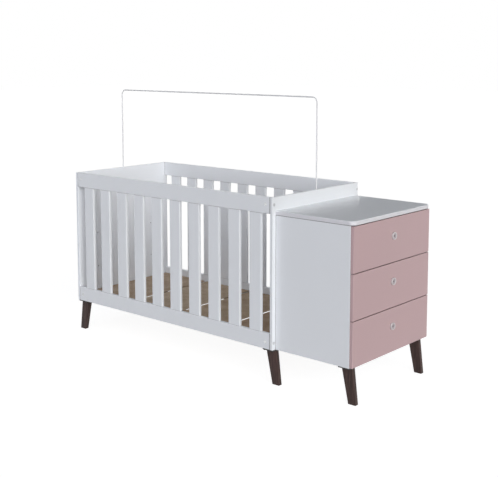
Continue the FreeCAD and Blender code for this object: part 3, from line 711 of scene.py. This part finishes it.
# %% Turned knobs
KNOB_NECK_RADIUS = 0.0148
KNOB_DISH = 0.0018
KNOB_DISH_FALL = 0.0003
KNOB_HOLLOW_FALL = 0.0001
KNOB_HOLLOW = 0.0016
KNOB_BROKEN_EDGE = 0.001
RIM_SLACK = 0.0003


def rim_edge(middle, along):
    """Edges that run round the knob, at both corners of its rim and at the lip of its dish."""
    outwards = Vector((0, middle.y, middle.z - knob_z))
    runs_round = abs(along.x) < NEAR and abs(along.normalized().dot(outwards.normalized())) < FACING
    at_corner = outwards.length > KNOB_RADIUS - RIM_SLACK
    at_lip = outwards.length > dish_radius - RIM_SLACK and middle.x > front_x - RIM_SLACK
    return runs_round and (at_corner or at_lip)


def make_knob(name, finish):
    """The bottom drawer's knob, grown ring by ring from its neck."""
    knob = start(name, "cylinder", vertices=64, radius=KNOB_NECK_RADIUS, depth=KNOB_NECK,
                 location=(face_x + KNOB_NECK / 2, 0, knob_z), rotation=(0, math.pi / 2, 0))
    pick(knob, "FACE", lambda middle, normal: normal.x > FACING)
    push(x=KNOB_FLARE)
    wider = KNOB_RADIUS / KNOB_NECK_RADIUS
    bpy.ops.transform.resize(value=(1, wider, wider), center_override=(face_x, 0, knob_z))
    push(x=KNOB_RIM_HEIGHT)
    bpy.ops.mesh.inset(thickness=KNOB_RIM_WIDTH)
    push(x=-KNOB_DISH)
    half_dish = (dish_radius - KNOB_HOLLOW_RADIUS) / 2
    for fall in (KNOB_DISH_FALL, KNOB_HOLLOW_FALL):
        bpy.ops.mesh.inset(thickness=half_dish)
        bpy.ops.transform.translate(value=(-fall, 0, 0))
    push(x=-KNOB_HOLLOW)
    picked = pick(knob, "EDGE", rim_edge)
    bpy.ops.mesh.bevel(offset=KNOB_BROKEN_EDGE, segments=4, affect="EDGES")
    close(knob, finish)
    print(name, "rim edges broken:", picked)
    return knob


first_knob = make_knob("bottom_turned_knob", knob_finishes["bottom"])
knobs = {"bottom": first_knob}
for level in ("middle", "top"):
    rise = knob_heights[level] - knob_z
    knobs[level] = copy_piece(first_knob, level + "_turned_knob", knob_finishes[level], (0, 0, rise))
for level, knob in knobs.items():
    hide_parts(level + "_drawer_knob")
    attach(knob, level + "_drawer")
    print(knob.name, "faces:", len(knob.data.polygons))

# %% [markdown]
# A leg is sawn from a board: a block whose foot is narrower than its top and set outwards. Its long edges
# are rounded with a router and its foot is eased so that it doesn't splinter. One leg is shaped from a
# cube. The left legs are its mirror image, so each copy is turned round as well as moved.

# %% Rounded legs
LEG_TOP_WIDTH = 0.054
LEG_FOOT_WIDTH = 0.038
LEG_ROUND = 0.0025
LEG_FOOT_EASE = 0.0012

leg_depth = leg_high[1] - leg_low[1]
top_x = leg_high[0] - LEG_SPLAY - LEG_TOP_WIDTH / 2
foot_x = leg_high[0] - LEG_FOOT_WIDTH / 2
leg = start("front_middle_rounded_leg", "cube", size=1, scale=(LEG_TOP_WIDTH, leg_depth, leg_height),
            location=(top_x, (leg_low[1] + leg_high[1]) / 2, (leg_low[2] + leg_high[2]) / 2))
pick(leg, "FACE", lambda middle, normal: normal.z < -FACING)
bpy.ops.transform.resize(value=(LEG_FOOT_WIDTH / LEG_TOP_WIDTH, 1, 1), center_override=(top_x, 0, 0))
bpy.ops.transform.translate(value=(foot_x - top_x, 0, 0))
long_edges = pick(leg, "EDGE", lambda middle, along: abs(along.z) > leg_height / 2)
bpy.ops.mesh.bevel(offset=LEG_ROUND, segments=5, affect="EDGES")
foot_edges = pick(leg, "EDGE", lambda middle, along: middle.z < NEAR)
bpy.ops.mesh.bevel(offset=LEG_FOOT_EASE, segments=2, affect="EDGES")
close(leg, own_finishes["front_middle_leg"], sharp=40)
print("long edges:", long_edges, "foot edges:", foot_edges, "faces:", len(leg.data.polygons))

legs = {"front_middle": leg}
for place_name in ("left", "middle", "right"):
    for side in ("front", "back"):
        key = side + "_" + place_name
        if key == "front_middle":
            continue
        to_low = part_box(key + "_leg")[0]
        mirror = place_name == "left"
        from_x = -leg_high[0] if mirror else leg_low[0]
        move = (to_low[0] - from_x, to_low[1] - leg_low[1], 0)
        legs[key] = copy_piece(leg, key + "_rounded_leg", own_finishes[key + "_leg"], move, mirror)
for key, one in legs.items():
    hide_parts(key + "_leg")
    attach(one, "frame")
print("legs:", len(legs))

# %% [markdown]
# The rod is one length of round steel, bent twice in a bending machine. A bevelled curve would be as easy.
# A ring that is extruded up, spun round each bend and extruded on follows the same steps as the machine.

# %% Bent canopy rod
ROD_RADIUS = 0.0032
ROD_BEND = 0.025
ROD_BEND_STEPS = 12

rod_low, rod_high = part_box("canopy_rod")
left_x, right_x = rod_low[0] + ROD_RADIUS, rod_high[0] - ROD_RADIUS
rod_y = (rod_low[1] + rod_high[1]) / 2
bend_z = rod_high[2] - ROD_RADIUS - ROD_BEND


def round_corner(x):
    """Spin the rod's open end a quarter turn, clockwise from the front, round a centre at x."""
    bpy.ops.mesh.spin(steps=ROD_BEND_STEPS, angle=-math.pi / 2, center=(x, rod_y, bend_z), axis=(0, 1, 0))


rod = start("bent_canopy_rod", "circle", vertices=24, radius=ROD_RADIUS, fill_type="NOTHING",
            location=(left_x, rod_y, rod_low[2]))
bpy.ops.mesh.select_mode(type="EDGE")
bpy.ops.mesh.select_all(action="SELECT")
push(z=bend_z - rod_low[2])
round_corner(left_x + ROD_BEND)
push(x=right_x - left_x - 2 * ROD_BEND)
round_corner(right_x - ROD_BEND)
push(z=rod_low[2] - bend_z)
bpy.ops.mesh.select_all(action="SELECT")
bpy.ops.mesh.fill_holes(sides=0)
close(rod, finishes["rod_enamel"], sharp=60)
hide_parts("canopy_rod")
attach(rod, "canopy")
print("rod faces:", len(rod.data.polygons))

# %% [markdown]
# The floor is a plain pale sheet. To the camera and in reflections it is almost as white as the
# background, and only a part of it takes light and shade, so a soft shadow stays under the crib. A plain
# white floor would do, but it would throw so much light upwards that the underside lost its shade.

# %% Floor
FLOOR_SIZE = 60
FLOOR_GREY = (0.45, 0.45, 0.45, 1)
FLOOR_SHADE_SHARE = 0.62
FLOOR_GLOW = 0.90
BACKDROP_WHITE = (1, 1, 1, 1)

bpy.ops.object.select_all(action="DESELECT")
bpy.ops.mesh.primitive_plane_add(size=FLOOR_SIZE)
floor = bpy.context.object
floor.name = "floor"


def seen_directly(tree):
    """1 for camera, glossy and transmission rays, and 0 for the rays that light things."""
    rays = add(tree, "LightPath").outputs
    either = compute(tree, "MAXIMUM", rays["Is Camera Ray"], rays["Is Glossy Ray"])
    return compute(tree, "MAXIMUM", either, rays["Is Transmission Ray"])


def choose(tree, share, first, second):
    """One shader, another, or a share of both."""
    return add(tree, "MixShader", {0: share, 1: first, 2: second}).outputs[0]


finish, tree, shader = new_finish("floor_paper")
fill(shader, Base_Color=FLOOR_GREY, Roughness=0.9, Specular_IOR_Level=0.0)
glow_strength = FLOOR_GLOW / (1 - FLOOR_SHADE_SHARE)
glow = add(tree, "Emission", {"Color": BACKDROP_WHITE, "Strength": glow_strength}).outputs[0]
shown = choose(tree, FLOOR_SHADE_SHARE, glow, shader.outputs[0])
paper = choose(tree, seen_directly(tree), shader.outputs[0], shown)
tree.links.new(paper, tree.nodes["Material Output"].inputs["Surface"])
floor.data.materials.append(finish)
print("floor:", FLOOR_SIZE, "m wide")

# %% [markdown]
# Behind the crib is plain white. The world is white to the camera and to reflections, and a faint grey to
# everything it lights, so that the suns alone shape the crib. A white wall would look the same from here,
# but it would have to be moved for each view.

# %% Background
WORLD_LIGHT = (0.02, 0.02, 0.022, 1)

world = bpy.data.worlds.new("studio")
bpy.context.scene.world = world
world.use_nodes = True
tree = world.node_tree
lighting = add(tree, "Background", {"Color": WORLD_LIGHT, "Strength": 1.0}).outputs[0]
backdrop = add(tree, "Background", {"Color": BACKDROP_WHITE, "Strength": 1.0}).outputs[0]
sky = choose(tree, seen_directly(tree), lighting, backdrop)
tree.links.new(sky, tree.nodes["World Output"].inputs["Surface"])
print("world:", world.name)
